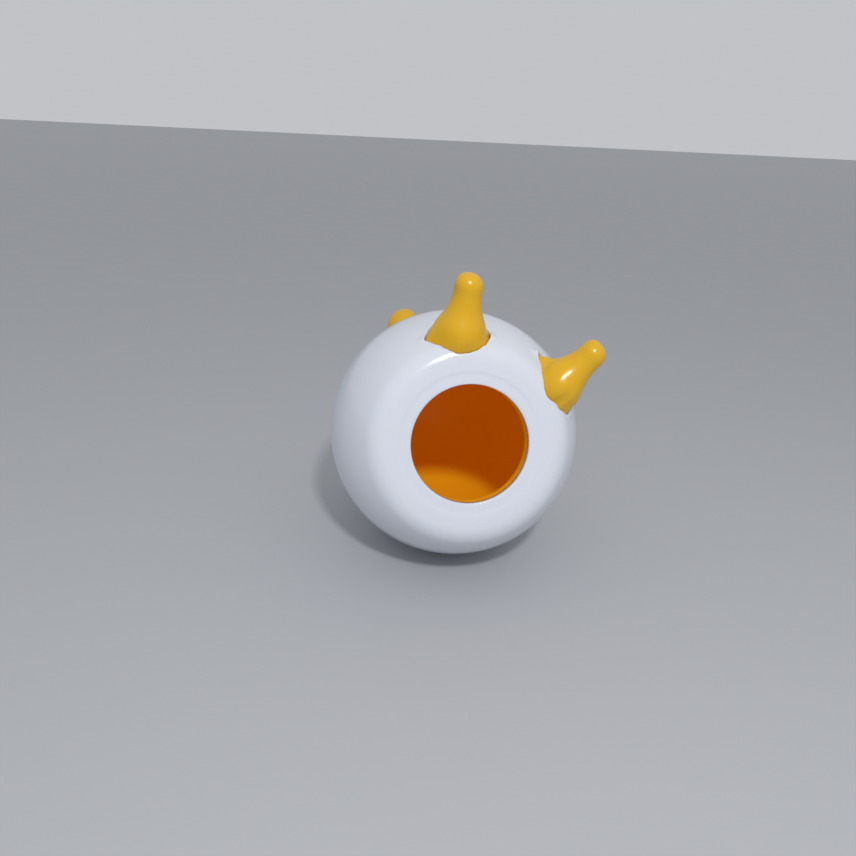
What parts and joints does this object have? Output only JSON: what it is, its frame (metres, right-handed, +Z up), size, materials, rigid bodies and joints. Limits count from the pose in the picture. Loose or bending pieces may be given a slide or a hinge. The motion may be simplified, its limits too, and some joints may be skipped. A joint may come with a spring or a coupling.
{
  "type": "hollow egg toy body with legs",
  "caption": "Hollow white egg-shaped toy body with a round mouth and yellow lining, and short tapered yellow legs coming out through cracked openings in its shell.",
  "frame": {"origin": "on the table plane, under the middle of the bounding box, with the egg lying on its belly", "axes": "+Z up, +Y towards the egg's pointed rear end, the mouth faces -Y and is tilted up 13.4 degrees, the legs point up and to +X"},
  "size_m": [0.045, 0.0594, 0.054],
  "materials": {
    "shell": "glossy opaque moulded plastic, very slightly cool white",
    "liner": "smooth satin orange-yellow moulded plastic",
    "leg": "glossy soft vinyl, warm yellow"
  },
  "bodies": {
    "root": {"front_shell": "shell", "rear_shell": "shell", "front_liner": "liner", "rear_liner": "liner", "front_left_leg": "leg", "front_right_leg": "leg", "rear_left_leg": "leg", "rear_right_leg": "leg"}
  },
  "joints": []
}
